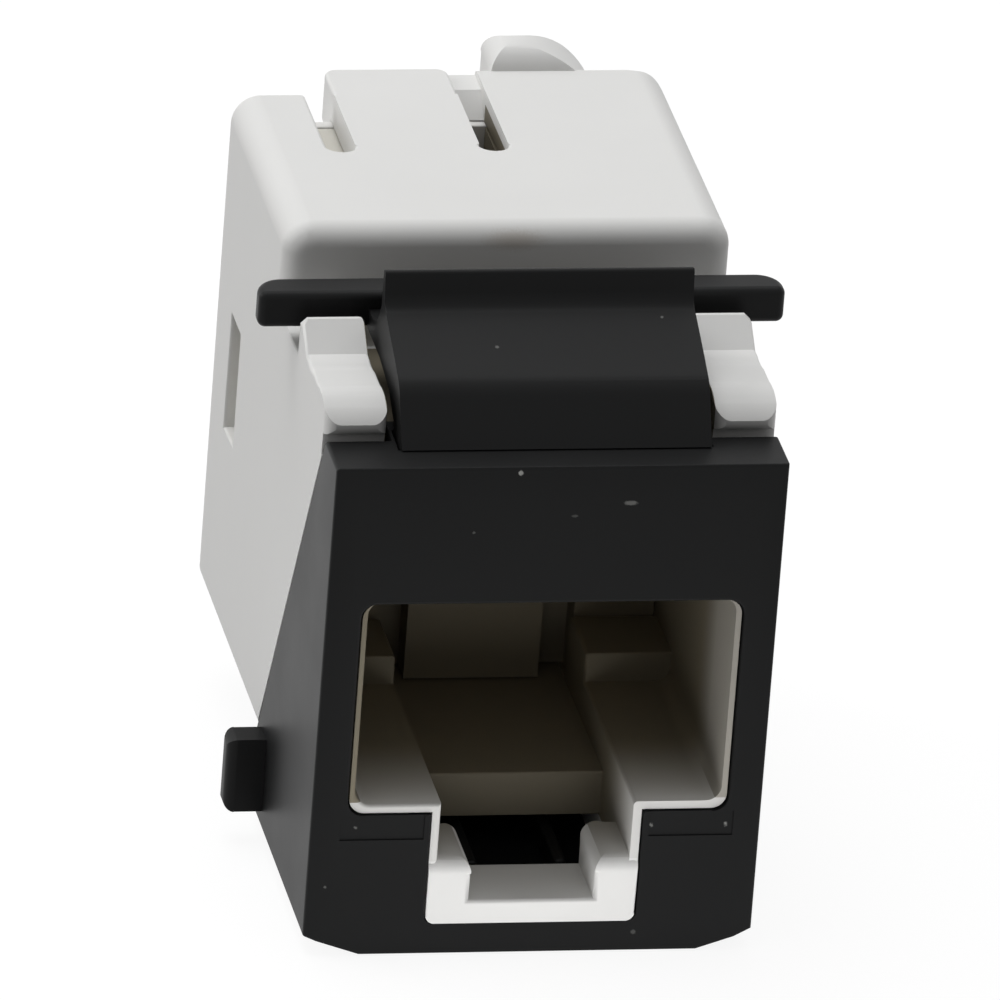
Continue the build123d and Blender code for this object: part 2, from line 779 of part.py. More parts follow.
def rear_cover():
    """The cap in the open rear end, with four pegs that press into the terminal block."""
    width = inner_width - 2 * fit
    cap = centred(width, cap_front, body_back, inner_bottom + fit, inner_top - fit)
    cap += centred(width, body_back, cap_back, inner_bottom + fit, lip_bottom - fit)
    rim = [e for e in cap.edges() if middle_of(e).Y > cap_back - fit]
    cap = fillet(rim, cap_edge)
    for x, z in cap_peg_places:
        cap += rod_along(x, z, cap_peg_radius, cap_front - cap_peg_length, cap_front)
    collar, cable_hole = cable_collar()
    return cap + collar - cable_hole


def save(shape, node):
    """Write one node as a STEP file."""
    solids = shape.solids()
    export_step(solids[0] if len(solids) == 1 else Compound(children=list(solids)), f"parts/{node}.step")


os.makedirs("parts", exist_ok=True)
save(front_frame(), "front_frame")
save(release_latch(), "release_latch")
save(jack_housing(), "jack_housing")
save(contact_carrier(), "contact_carrier")
save(circuit_board(), "circuit_board")
save(terminal_block(), "terminal_block")
save(rear_cover(), "rear_cover")
for number in range(contact_count):
    save(contact_wire(number), f"contact_wire_{number + 1}")
for number, (x, z) in enumerate(terminal_places):
    save(idc_contact(x, z), f"idc_contact_{number + 1}")
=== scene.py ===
import math
import bmesh
import bpy
from mathutils import Matrix, Vector
from mathutils.bvhtree import BVHTree
from mathutils.kdtree import KDTree


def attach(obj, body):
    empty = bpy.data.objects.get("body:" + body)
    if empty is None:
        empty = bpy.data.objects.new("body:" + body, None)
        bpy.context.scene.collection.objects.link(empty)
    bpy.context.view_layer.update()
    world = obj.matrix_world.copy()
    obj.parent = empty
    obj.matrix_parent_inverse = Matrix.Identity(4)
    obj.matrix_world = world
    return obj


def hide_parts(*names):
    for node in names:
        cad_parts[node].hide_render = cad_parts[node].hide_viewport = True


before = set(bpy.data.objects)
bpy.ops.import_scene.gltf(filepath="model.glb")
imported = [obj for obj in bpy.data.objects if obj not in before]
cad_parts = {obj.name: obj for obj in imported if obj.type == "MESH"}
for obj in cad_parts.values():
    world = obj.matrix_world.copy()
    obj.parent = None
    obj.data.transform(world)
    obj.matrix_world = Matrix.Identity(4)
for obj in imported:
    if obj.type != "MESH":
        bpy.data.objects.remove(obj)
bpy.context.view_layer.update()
scene = bpy.context.scene
mm = 0.001

# the photograph's camera: a long lens, a little above the front, rolled slightly
camera = {
    "azimuth": -12.13,
    "elevation": 24.71,
    "roll": 4.44,
    "distance": 617.2 * mm,
    "target": Vector((0, 11, 9)) * mm,
    "aside": 0.466 * mm,
    "lift": 1.527 * mm,
    "lens": 693.49,
    "sensor": 36,
    "clipStart": 0.05,
    "clipEnd": 20,
}


def makeCamera(c):
    azimuth, elevation, roll = (math.radians(c[k]) for k in ("azimuth", "elevation", "roll"))
    back = Vector((
        math.sin(azimuth) * math.cos(elevation),
        -math.cos(azimuth) * math.cos(elevation),
        math.sin(elevation),
    ))
    level = Vector((math.cos(azimuth), math.sin(azimuth), 0))
    upright = back.cross(level)
    right = math.cos(roll) * level + math.sin(roll) * upright
    up = math.cos(roll) * upright - math.sin(roll) * level
    data = bpy.data.cameras.new("jackCamera")
    data.lens = c["lens"]
    data.sensor_width = c["sensor"]
    data.clip_start = c["clipStart"]
    data.clip_end = c["clipEnd"]
    cam = bpy.data.objects.new("jackCamera", data)
    scene.collection.objects.link(cam)
    turn = Matrix((right, up, back)).transposed().to_4x4()
    cam.matrix_world = Matrix.Translation(
        c["target"] + c["aside"] * right + c["lift"] * up + c["distance"] * back
    ) @ turn
    scene.camera = cam


makeCamera(camera)
print("camera ready")


# small helpers for node trees

def newGroup(name, inputs, outputs):
    tree = bpy.data.node_groups.new(name, "ShaderNodeTree")
    for label, kind, value in inputs:
        socket = tree.interface.new_socket(label, in_out="INPUT", socket_type=kind)
        socket.default_value = value
    for label, kind in outputs:
        tree.interface.new_socket(label, in_out="OUTPUT", socket_type=kind)
    return tree, tree.nodes.new("NodeGroupInput"), tree.nodes.new("NodeGroupOutput")


def mathNode(tree, operation, a, b=None, c=None):
    node = tree.nodes.new("ShaderNodeMath")
    node.operation = operation
    for i, value in enumerate((a, b, c)):
        if value is None:
            continue
        if isinstance(value, (int, float)):
            node.inputs[i].default_value = value
        else:
            tree.links.new(value, node.inputs[i])
    return node.outputs[0]


def noiseNode(tree, vector, scale, detail=2.0, roughness=0.5):
    node = tree.nodes.new("ShaderNodeTexNoise")
    tree.links.new(vector, node.inputs["Vector"])
    if isinstance(scale, (int, float)):
        node.inputs["Scale"].default_value = scale
    else:
        tree.links.new(scale, node.inputs["Scale"])
    node.inputs["Detail"].default_value = detail
    node.inputs["Roughness"].default_value = roughness
    return node.outputs["Fac"]


def rangeNode(tree, value, fromLow, fromHigh, toLow, toHigh):
    node = tree.nodes.new("ShaderNodeMapRange")
    node.interpolation_type = "SMOOTHSTEP"
    tree.links.new(value, node.inputs["Value"])
    labels = ("From Min", "From Max", "To Min", "To Max")
    for label, number in zip(labels, (fromLow, fromHigh, toLow, toHigh)):
        if isinstance(number, (int, float)):
            node.inputs[label].default_value = number
        else:
            tree.links.new(number, node.inputs[label])
    return node.outputs["Result"]


# fine moulded grain: a height for bump, a slow shade change and a roughness change
def makeMouldGrain():
    tree, given, out = newGroup(
        "mouldGrain",
        [
            ("Vector", "NodeSocketVector", (0, 0, 0)),
            ("Grain Scale", "NodeSocketFloat", 9000.0),
            ("Cloud Scale", "NodeSocketFloat", 260.0),
            ("Cloud Depth", "NodeSocketFloat", 0.06),
            ("Gloss Change", "NodeSocketFloat", 0.08),
        ],
        [("Height", "NodeSocketFloat"), ("Shade", "NodeSocketFloat"), ("Gloss", "NodeSocketFloat")],
    )
    vector = given.outputs["Vector"]
    grain = noiseNode(tree, vector, given.outputs["Grain Scale"], 3.0, 0.6)
    cloud = noiseNode(tree, vector, given.outputs["Cloud Scale"], 3.0, 0.55)
    tree.links.new(grain, out.inputs["Height"])
    centred = mathNode(tree, "SUBTRACT", cloud, 0.5)
    shade = mathNode(tree, "MULTIPLY_ADD", centred, given.outputs["Cloud Depth"], 1.0)
    tree.links.new(shade, out.inputs["Shade"])
    gloss = mathNode(tree, "MULTIPLY", centred, given.outputs["Gloss Change"])
    tree.links.new(gloss, out.inputs["Gloss"])
    return tree


# loose dust: a few pale flecks, from the middles of scattered cells
def makeDustFlecks():
    tree, given, out = newGroup(
        "dustFlecks",
        [
            ("Vector", "NodeSocketVector", (0, 0, 0)),
            ("Cell Scale", "NodeSocketFloat", 420.0),
            ("Fleck Size", "NodeSocketFloat", 0.05),
            ("Share", "NodeSocketFloat", 0.05),
        ],
        [("Mask", "NodeSocketFloat")],
    )
    cells = tree.nodes.new("ShaderNodeTexVoronoi")
    cells.feature = "F1"
    tree.links.new(given.outputs["Vector"], cells.inputs["Vector"])
    tree.links.new(given.outputs["Cell Scale"], cells.inputs["Scale"])
    near = mathNode(tree, "LESS_THAN", cells.outputs["Distance"], given.outputs["Fleck Size"])
    split = tree.nodes.new("ShaderNodeSeparateColor")
    tree.links.new(cells.outputs["Color"], split.inputs["Color"])
    chosen = mathNode(tree, "LESS_THAN", split.outputs["Red"], given.outputs["Share"])
    tree.links.new(mathNode(tree, "MULTIPLY", near, chosen), out.inputs["Mask"])
    return tree


# one mark with a ragged rim, at a place on the part
def makeSpotMark():
    tree, given, out = newGroup(
        "spotMark",
        [
            ("Vector", "NodeSocketVector", (0, 0, 0)),
            ("Centre", "NodeSocketVector", (0, 0, 0)),
            ("Stretch", "NodeSocketVector", (1, 1, 1)),
            ("Radius", "NodeSocketFloat", 0.0001),
            ("Softness", "NodeSocketFloat", 0.4),
            ("Level", "NodeSocketFloat", 0.3),
            ("Rag Scale", "NodeSocketFloat", 14000.0),
        ],
        [("Mask", "NodeSocketFloat")],
    )
    away = tree.nodes.new("ShaderNodeVectorMath")
    away.operation = "SUBTRACT"
    tree.links.new(given.outputs["Vector"], away.inputs[0])
    tree.links.new(given.outputs["Centre"], away.inputs[1])
    drawn = tree.nodes.new("ShaderNodeVectorMath")
    drawn.operation = "DIVIDE"
    tree.links.new(away.outputs["Vector"], drawn.inputs[0])
    tree.links.new(given.outputs["Stretch"], drawn.inputs[1])
    reach = tree.nodes.new("ShaderNodeVectorMath")
    reach.operation = "LENGTH"
    tree.links.new(drawn.outputs["Vector"], reach.inputs[0])
    ragged = noiseNode(tree, given.outputs["Vector"], given.outputs["Rag Scale"], 2.0, 0.6)
    rim = mathNode(tree, "MULTIPLY", given.outputs["Radius"], mathNode(tree, "ADD", ragged, 0.5))
    inner = mathNode(tree, "MULTIPLY", rim, mathNode(tree, "SUBTRACT", 1.0, given.outputs["Softness"]))
    mask = rangeNode(tree, reach.outputs["Value"], inner, rim, 1.0, 0.0)
    tree.links.new(mathNode(tree, "MULTIPLY", mask, given.outputs["Level"]), out.inputs["Mask"])
    return tree


mouldGrain = makeMouldGrain()
dustFlecks = makeDustFlecks()
spotMark = makeSpotMark()


def startMaterial(name):
    material = bpy.data.materials.new(name)
    material.use_nodes = True
    tree = material.node_tree
    shader = tree.nodes["Principled BSDF"]
    coords = tree.nodes.new("ShaderNodeTexCoord")
    return material, tree, shader, coords.outputs["Object"]


def useGroup(tree, group, vector, **values):
    node = tree.nodes.new("ShaderNodeGroup")
    node.node_tree = group
    tree.links.new(vector, node.inputs["Vector"])
    for label, value in values.items():
        node.inputs[label.replace("_", " ")].default_value = value
    return node


def scaledColour(tree, colour, factor):
    node = tree.nodes.new("ShaderNodeVectorMath")
    node.operation = "SCALE"
    node.inputs[0].default_value = colour
    tree.links.new(factor, node.inputs["Scale"])
    return node.outputs["Vector"]


def mixColour(tree, mask, a, b):
    node = tree.nodes.new("ShaderNodeMix")
    node.data_type = "RGBA"
    tree.links.new(mask, node.inputs["Factor"])
    for socket, value in ((node.inputs[6], a), (node.inputs[7], b)):
        if isinstance(value, (tuple, list)):
            socket.default_value = (*value, 1.0)
        else:
            tree.links.new(value, socket)
    return node.outputs[2]


def bumpFrom(tree, shader, height, strength, distance):
    bump = tree.nodes.new("ShaderNodeBump")
    bump.inputs["Strength"].default_value = strength
    bump.inputs["Distance"].default_value = distance
    tree.links.new(height, bump.inputs["Height"])
    tree.links.new(bump.outputs["Normal"], shader.inputs["Normal"])


# a mask for painted shade in the port: how far a place is in it, a little at its rim and more at the rim's
# left side,
# 1 at its back, and 0 down at the keeper; behind the port, on its right, it reaches up inside the housing,
# and the bed under the latch, between the shoulders, counts as deep too
def makePortShadeMask():
    tree, given, out = newGroup(
        "portShadeMask",
        [
            ("Vector", "NodeSocketVector", (0, 0, 0)),
            ("Start", "NodeSocketFloat", -0.0015),
            ("Reach", "NodeSocketFloat", 0.006),
            ("Rim Share", "NodeSocketFloat", 0.72),
            ("Half Width", "NodeSocketFloat", 0.0062),
            ("Floor", "NodeSocketFloat", 0.0053),
            ("Keeper Top", "NodeSocketFloat", 0.0032),
            ("Top", "NodeSocketFloat", 0.01245),
            ("Keeper Back", "NodeSocketFloat", 0.0028),
            ("Under Floor", "NodeSocketFloat", -0.0009),
            ("Frame Back", "NodeSocketFloat", 0.0099),
            ("Housing Floor", "NodeSocketFloat", 0.0013),
            ("Rear End", "NodeSocketFloat", 0.0213),
            ("Bed Half Width", "NodeSocketFloat", 0.00527),
            ("Bed Back", "NodeSocketFloat", 0.0107),
            ("Bed Top", "NodeSocketFloat", 0.0188),
            ("Left Side", "NodeSocketFloat", -0.0055),
            ("Left End", "NodeSocketFloat", -0.0059),
            ("Rear Start", "NodeSocketFloat", 0.0116),
            ("Rear Rise", "NodeSocketFloat", 0.0075),
            ("Rear Left", "NodeSocketFloat", -0.0025),
        ],
        [("Mask", "NodeSocketFloat")],
    )
    split = tree.nodes.new("ShaderNodeSeparateXYZ")
    tree.links.new(given.outputs["Vector"], split.inputs[0])
    deep = rangeNode(tree, split.outputs["Y"], given.outputs["Start"], given.outputs["Reach"], 0.0, 1.0)
    raised = mathNode(tree, "GREATER_THAN", split.outputs["Z"], given.outputs["Floor"])
    left = rangeNode(tree, split.outputs["X"], given.outputs["Left End"], given.outputs["Left Side"], 1.0,
                     given.outputs["Rim Share"])
    rim = mathNode(tree, "MULTIPLY", raised, left)
    depth = mathNode(tree, "MAXIMUM", deep, rim)
    aside = mathNode(tree, "ABSOLUTE", split.outputs["X"])
    within = mathNode(tree, "LESS_THAN", aside, given.outputs["Half Width"])
    behind = mathNode(tree, "GREATER_THAN", split.outputs["Y"], given.outputs["Rear Start"])
    rightwards = mathNode(tree, "GREATER_THAN", split.outputs["X"], given.outputs["Rear Left"])
    behind = mathNode(tree, "MULTIPLY", behind, rightwards)
    top = mathNode(tree, "MULTIPLY_ADD", behind, given.outputs["Rear Rise"], given.outputs["Top"])
    under = mathNode(tree, "LESS_THAN", split.outputs["Z"], top)
    past = mathNode(tree, "GREATER_THAN", split.outputs["Y"], given.outputs["Keeper Back"])
    low = mathNode(tree, "MULTIPLY_ADD", past, given.outputs["Under Floor"], given.outputs["Keeper Top"])
    past = mathNode(tree, "GREATER_THAN", split.outputs["Y"], given.outputs["Frame Back"])
    low = mathNode(tree, "MULTIPLY_ADD", past, given.outputs["Housing Floor"], low)
    over = mathNode(tree, "GREATER_THAN", split.outputs["Z"], low)
    before = mathNode(tree, "LESS_THAN", split.outputs["Y"], given.outputs["Rear End"])
    inside = mathNode(tree, "MULTIPLY", mathNode(tree, "MULTIPLY", within, under), over)
    inside = mathNode(tree, "MULTIPLY", inside, before)
    port = mathNode(tree, "MULTIPLY", inside, depth)
    between = mathNode(tree, "LESS_THAN", aside, given.outputs["Bed Half Width"])
    front = mathNode(tree, "LESS_THAN", split.outputs["Y"], given.outputs["Bed Back"])
    low = mathNode(tree, "LESS_THAN", split.outputs["Z"], given.outputs["Bed Top"])
    high = mathNode(tree, "GREATER_THAN", split.outputs["Z"], given.outputs["Top"])
    level = mathNode(tree, "MULTIPLY", low, high)
    bed = mathNode(tree, "MULTIPLY", mathNode(tree, "MULTIPLY", between, front), level)
    tree.links.new(mathNode(tree, "MAXIMUM", port, bed), out.inputs["Mask"])
    return tree


portShadeMask = makePortShadeMask()


def mouldedPlastic(name, p):
    material, tree, shader, coords = startMaterial(name)
    grain = useGroup(tree, mouldGrain, coords, Grain_Scale=p["grain"], Cloud_Scale=p["cloud"],
                     Cloud_Depth=p["cloudDepth"], Gloss_Change=p["glossChange"])
    dust = useGroup(tree, dustFlecks, coords, Cell_Scale=p["dustCell"], Fleck_Size=p["dustSize"],
                    Share=p["dustShare"])
    colour = scaledColour(tree, p["colour"], grain.outputs["Shade"])
    # painted shade: the white darkens towards a warm brown deep in the port, at the rim's left side, under
    # the latch and inside the housing, where shade falls
    if p["paintedShadeColour"] is not None:
        deep = useGroup(tree, portShadeMask, coords, Reach=p["paintedShadeReach"] * mm)
        colour = mixColour(tree, deep.outputs["Mask"], colour, p["paintedShadeColour"])
    for place, radius, level, stretch in p["marks"]:
        mark = useGroup(tree, spotMark, coords, Centre=Vector(place) * mm, Radius=radius * mm, Level=level,
                        Stretch=stretch, Softness=p["markSoftness"])
        colour = mixColour(tree, mark.outputs["Mask"], colour, p["markColour"])
    colour = mixColour(tree, dust.outputs["Mask"], colour, p["dustColour"])
    tree.links.new(colour, shader.inputs["Base Color"])
    rough = mathNode(tree, "ADD", grain.outputs["Gloss"], p["roughness"])
    tree.links.new(rough, shader.inputs["Roughness"])
    shader.inputs["Specular IOR Level"].default_value = p["specular"]
    bumpFrom(tree, shader, grain.outputs["Height"], p["bump"], p["bumpDepth"] * mm)
    return material


blackFinish = {
    "colour": (0.0092, 0.0094, 0.0096),
    "roughness": 0.43,
    "specular": 0.11,
    "grain": 11000.0,
    "cloud": 240.0,
    "cloudDepth": 0.25,
    "glossChange": 0.12,
    "bump": 0.12,
    "bumpDepth": 0.01,
    "dustCell": 300.0,
    "dustSize": 0.045,
    "dustShare": 0.035,
    "dustColour": (0.3, 0.3, 0.28),
    "paintedShadeColour": None,
    "markColour": (0.42, 0.42, 0.40),
    "markSoftness": 0.5,
    "marks": [
        ((-1.37, 0.16, 16.71), 0.10, 0.9, (1, 1, 1)),
        ((2.19, 0.0, 15.70), 0.10, 0.35, (2.6, 1, 1)),
        ((-1.62, 4.02, 19.29), 0.08, 0.3, (1, 1, 1)),
        ((3.86, 5.17, 19.74), 0.06, 0.35, (1, 1, 1)),
        ((-2.76, 0.0, 14.73), 0.06, 0.2, (1, 1, 1)),
        ((0.43, 0.0, 15.27), 0.06, 0.15, (2.2, 1, 1)),
        ((3.70, 0.1, 4.41), 0.09, 0.5, (1, 1, 1.6)),
        ((6.10, 0.1, 4.40), 0.09, 0.5, (1, 1, 1.6)),
        ((-5.84, 0.1, 4.46), 0.09, 0.3, (1, 1, 1)),
        ((3.38, 0.0, 0.65), 0.10, 0.14, (1, 1, 1)),
        ((-6.68, 0.02, 2.40), 0.06, 0.2, (1, 1, 1)),
    ],
}
whiteFinish = {
    "colour": (0.79, 0.785, 0.77),
    "roughness": 0.42,
    "specular": 0.06,
    "grain": 9000.0,
    "cloud": 200.0,
    "cloudDepth": 0.05,
    "glossChange": 0.08,
    "bump": 0.1,
    "bumpDepth": 0.01,
    "dustCell": 260.0,
    "dustSize": 0.03,
    "dustShare": 0.02,
    "dustColour": (0.42, 0.39, 0.35),
    # painted shade deep in the port: its colour, and how far in it reaches
    "paintedShadeColour": (0.22, 0.195, 0.145),
    "paintedShadeReach": 5.0,
    "markColour": (0.42, 0.33, 0.24),
    "markSoftness": 0.85,
    "marks": [
        ((0.16, 10.89, 19.85), 0.75, 0.35, (1.8, 1, 0.6)),
        ((-6.9, 4.0, 16.9), 0.35, 0.18, (1, 1, 1)),
    ],
}
coverFinish = dict(whiteFinish, colour=(0.81, 0.80, 0.78), cloud=160.0, paintedShadeColour=None, marks=[])
insertFinish = dict(whiteFinish, colour=(0.70, 0.68, 0.62), roughness=0.5, marks=[])

blackPlastic = mouldedPlastic("blackPlastic", blackFinish)
whitePlastic = mouldedPlastic("whitePlastic", whiteFinish)
coverPlastic = mouldedPlastic("coverPlastic", coverFinish)
insertPlastic = mouldedPlastic("insertPlastic", insertFinish)


# a plain finish: grain, a slow change of shade and gloss, and fine bumps
def plainFinish(name, p):
    material, tree, shader, coords = startMaterial(name)
    grain = useGroup(tree, mouldGrain, coords, Grain_Scale=p["grain"], Cloud_Scale=p["cloud"],
                     Cloud_Depth=p["cloudDepth"], Gloss_Change=p["glossChange"])
    tree.links.new(scaledColour(tree, p["colour"], grain.outputs["Shade"]), shader.inputs["Base Color"])
    rough = mathNode(tree, "ADD", grain.outputs["Gloss"], p["roughness"])
    tree.links.new(rough, shader.inputs["Roughness"])
    shader.inputs["Metallic"].default_value = p["metallic"]
    shader.inputs["Coat Weight"].default_value = p["coat"]
    bumpFrom(tree, shader, grain.outputs["Height"], p["bump"], p["bumpDepth"] * mm)
    return material


goldFinish = {
    "colour": (0.83, 0.6, 0.25),
    "roughness": 0.24,
    "metallic": 1.0,
    "coat": 0.0,
    "grain": 9000.0,
    "cloud": 600.0,
    "cloudDepth": 0.2,
    "glossChange": 0.2,
    "bump": 0.1,
    "bumpDepth": 0.005,
}
tinFinish = dict(goldFinish, colour=(0.6, 0.6, 0.58), roughness=0.36, grain=7000.0)
boardFinish = {
    "colour": (0.02, 0.16, 0.07),
    "roughness": 0.3,
    "metallic": 0.0,
    "coat": 0.3,
    "grain": 2600.0,
    "cloud": 420.0,
    "cloudDepth": 0.3,
    "glossChange": 0.1,
    "bump": 0.2,
    "bumpDepth": 0.01,
}

goldPlate = plainFinish("goldPlate", goldFinish)
tinPlate = plainFinish("tinPlate", tinFinish)
boardLacquer = plainFinish("boardLacquer", boardFinish)
print("materials ready")


roomTest = {
    "most": 1.0,
    "upright": 0.5,
    "shares": (0.02, 0.25, 0.5, 0.75, 0.98),
    "least": 0.01 * mm,
}


# how far it is from an edge across its two faces, and along the side edges that meet it
def roomBeside(edge):
    start, end = (corner.co for corner in edge.verts)
    length = (end - start).length
    run = (end - start) / length
    room = roomTest["most"]
    for face in edge.link_faces:
        inward = face.normal.cross(run)
        if inward.dot(face.calc_center_median() - start) < 0 and len(face.verts) < 5:
            inward.negate()
        sides = []
        for other in face.edges:
            if other is edge:
                continue
            away = [corner.co - start for corner in other.verts]
            (u0, v0), (u1, v1) = ((gap.dot(run), gap.dot(inward)) for gap in away)
            if set(other.verts) & set(edge.verts):
                if abs(v1 - v0) > roomTest["upright"] * other.calc_length():
                    room = min(room, other.calc_length())
            sides.append((u0, v0, u1, v1))
        for share in roomTest["shares"]:
            at = share * length
            for u0, v0, u1, v1 in sides:
                if (u0 - at) * (u1 - at) <= 0 and u0 != u1:
                    across = abs(v0 + (v1 - v0) * (at - u0) / (u1 - u0))
                    if across > roomTest["least"]:
                        room = min(room, across)
    return room


# the mesh that an object's modifiers give; the object itself goes
def finishedMesh(rough, name):
    graph = bpy.context.evaluated_depsgraph_get()
    grown = rough.evaluated_get(graph)
    mesh = bpy.data.meshes.new_from_object(grown, preserve_all_data_layers=True, depsgraph=graph)
    mesh.name = name
    bpy.data.objects.remove(rough)
    return mesh


# places along edges, for finding how far something is from the nearest of them
def placesAlong(edges, spacing):
    places = []
    for start, end in ((edge.verts[0].co, edge.verts[1].co) for edge in edges):
        steps = max(1, math.ceil((end - start).length / spacing))
        places += [start.lerp(end, step / steps) for step in range(steps + 1)]
    tree = KDTree(len(places))
    for number, place in enumerate(places):
        tree.insert(place, number)
    tree.balance()
    return tree


strayTest = {
    "slantTurn": 0.985,
    "slantReach": 1.7,
    "slantGap": 0.004 * mm,
    "backTurn": -0.3,
    "backSize": 0.02 * mm,
}


# corners of the triangles in a rounded mesh that have left the solid's surface, face inwards, or
# reach over a face at a slant
def strayCorners(mesh, solid, corners, width, slack):
    bm = bmesh.new()
    bm.from_mesh(mesh)
    bmesh.ops.triangulate(bm, faces=bm.faces)
    stray = []
    for face in bm.faces:
        a, b, c = (corner.co for corner in face.verts)
        for place in ((a + b + c) / 3, (3 * a + b + c) / 5, (a + 3 * b + c) / 5, (a + b + 3 * c) / 5):
            normal, gap = solid.find_nearest(place)[1::2]
            turned = normal.dot(face.normal)
            reach = max(corners.find(end)[2] for end in (a, b, c))
            slanting = turned < strayTest["slantTurn"] and reach > strayTest["slantReach"] * width
            backwards = turned < strayTest["backTurn"] and face.calc_area() > strayTest["backSize"] ** 2
            if gap > slack * width or backwards or (slanting and gap > strayTest["slantGap"]):
                stray += [a.copy(), b.copy(), c.copy()]
                break
    bm.free()
    return stray


normalTest = {
    "ownTurn": 0.9995,
    "ownGap": 0.07 * mm,
    "nearTurn": 0.3,
}


# the solid's own faces shade flat or along their curve, and the roundings blend from one to the next
def evenNormals(mesh, solid, least):
    faces = mesh.polygons
    own = []
    around = [[] for corner in mesh.vertices]
    for face in faces:
        face.use_smooth = True
        normal, gap = solid.find_nearest(face.center)[1::2]
        own.append(normal.dot(face.normal) > normalTest["ownTurn"] and gap < normalTest["ownGap"])
        for number in face.vertices:
            around[number].append(face.index)
    normals = []
    for face in faces:
        for number in face.vertices:
            turned = {other: faces[other].normal.dot(face.normal) for other in around[number]}
            near = [other for other in around[number] if turned[other] > normalTest["nearTurn"]]
            kept = [other for other in near if own[other]]
            if kept:
                lead = face if own[face.index] else faces[max(kept, key=turned.get)]
                kept = [other for other in kept if faces[other].normal.dot(lead.normal) > least]
            else:
                kept = near
            total = sum((faces[other].normal * faces[other].area for other in kept), Vector())
            normals.append(total.normalized() if total.length > 0 else face.normal.copy())
    mesh.normals_split_custom_set(normals)


rounding = {
    "merge": 0.002 * mm,
    "flat": 0.6,
    "spacing": 0.06 * mm,
    "room": 2.2,
    "mendReach": 1.5,
    "mendShare": 0.6,
}


# a moulding from its CAD solid, with every sharp edge rounded as a mould leaves it; where a
# rounding would leave the surface, the edges there are rounded less and it is made again
def softMoulding(look):
    bm = bmesh.new()
    bm.from_mesh(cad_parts[look["node"]].data)
    solid = BVHTree.FromBMesh(bm)
    bmesh.ops.remove_doubles(bm, verts=bm.verts, dist=rounding["merge"])
    flat = math.radians(rounding["flat"])
    bmesh.ops.dissolve_limit(bm, angle_limit=flat, verts=bm.verts, edges=bm.edges)
    if look["reshape"] is not None:
        look["reshape"](bm)
        bm.normal_update()
    weight = bm.edges.layers.float.new("bevel_weight_edge")
    width = look["edge"] * mm
    turns = math.radians(look["sharp"])
    sharp = [edge for edge in bm.edges if edge.calc_face_angle(0.0) > turns]
    corners = placesAlong(sharp, rounding["spacing"])
    for edge in bm.edges:
        if len(edge.link_faces) != 2 or edge.calc_face_angle(0.0) < turns:
            continue
        if edge.calc_face_angle_signed(0.0) > 0:
            middle = (edge.verts[0].co + edge.verts[1].co) / 2
            share = 1.0 if look["wide"] is None or look["wide"](middle) else look["fine"]
            edge[weight] = share * min(1.0, roomBeside(edge) / (rounding["room"] * width))
            if look["steady"] is not None and look["steady"](middle):
                edge[weight] = look["steadyShare"]
    for attempt in range(look["tries"]):
        for edge in bm.edges:
            if edge[weight] < look["least"]:
                edge[weight] = 0.0
        mesh = bpy.data.meshes.new(look["piece"])
        bm.to_mesh(mesh)
        rough = bpy.data.objects.new(look["piece"] + "Rough", mesh)
        scene.collection.objects.link(rough)
        bevel = rough.modifiers.new("edges", "BEVEL")
        bevel.limit_method = "WEIGHT"
        bevel.width = width
        bevel.segments = look["steps"]
        bevel.use_clamp_overlap = False
        split = rough.modifiers.new("split", "TRIANGULATE")
        split.min_vertices = 5
        finished = finishedMesh(rough, look["piece"])
        stray = strayCorners(finished, solid, corners, width, look["slack"])
        print(look["piece"], "attempt", attempt, "strays", len(stray) // 3)
        if not stray:
            break
        near = KDTree(len(stray))
        for number, place in enumerate(stray):
            near.insert(place, number)
        near.balance()
        for edge in bm.edges:
            if edge[weight]:
                ends = [corner.co for corner in edge.verts] + [(edge.verts[0].co + edge.verts[1].co) / 2]
                if min(near.find(place)[2] for place in ends) < rounding["mendReach"] * width:
                    edge[weight] *= rounding["mendShare"]
    bm.free()
    evenNormals(finished, solid, math.cos(turns))
    piece = bpy.data.objects.new(look["piece"], finished)
    scene.collection.objects.link(piece)
    finished.materials.clear()
    finished.materials.append(look["material"])
    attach(piece, look["body"])
    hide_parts(look["node"])
    print(look["piece"], len(finished.polygons), "faces")


faceBand = {
    "depth": 0.1 * mm,
    "left": 0.045 * mm,
    "low": 3.8 * mm,
    "high": 5.0 * mm,
    "slack": 0.004 * mm,
}


# the two bands beside the notch are kept shallow and soft
def softenBands(bm):
    band = faceBand
    for corner in bm.verts:
        beside = band["low"] < corner.co.z < band["high"]
        if beside and abs(corner.co.y - band["depth"]) < band["slack"]:
            corner.co.y = band["left"]


frontFrameLook = {
    "node": "front_frame",
    "piece": "frontFrame",
    "body": "jack_body",
    "slot": "black_plastic",
    "material": blackPlastic,
    "edge": 0.12,
    "fine": 1.0,
    "wide": None,
    "steady": None,
    "steadyShare": 0.2,
    "reshape": softenBands,
    "steps": 2,
    "sharp": 28,
    "least": 0.12,
    "slack": 0.42,
    "tries": 14,
}
softMoulding(frontFrameLook)

latchSides = {
    "beyond": 4.9 * mm,
    "before": 6.3 * mm,
}

# the latch's long side edges are rounder than its cross edges
releaseLatchLook = dict(
    frontFrameLook,
    reshape=None,
    node="release_latch",
    piece="releaseLatch",
    body="latch",
    edge=0.3,
    fine=0.4,
    wide=lambda place: abs(place.x) > latchSides["beyond"] and place.y < latchSides["before"],
    steps=3,
)
softMoulding(releaseLatchLook)

shoulderGroove = {
    "inner": 5.2 * mm,
    "top": 18.0 * mm,
    "bottom": 17.88 * mm,
    "spread": 0.3 * mm,
    "lift": 0.07 * mm,
    "slack": 0.01 * mm,
    "beside": 0.02 * mm,
}


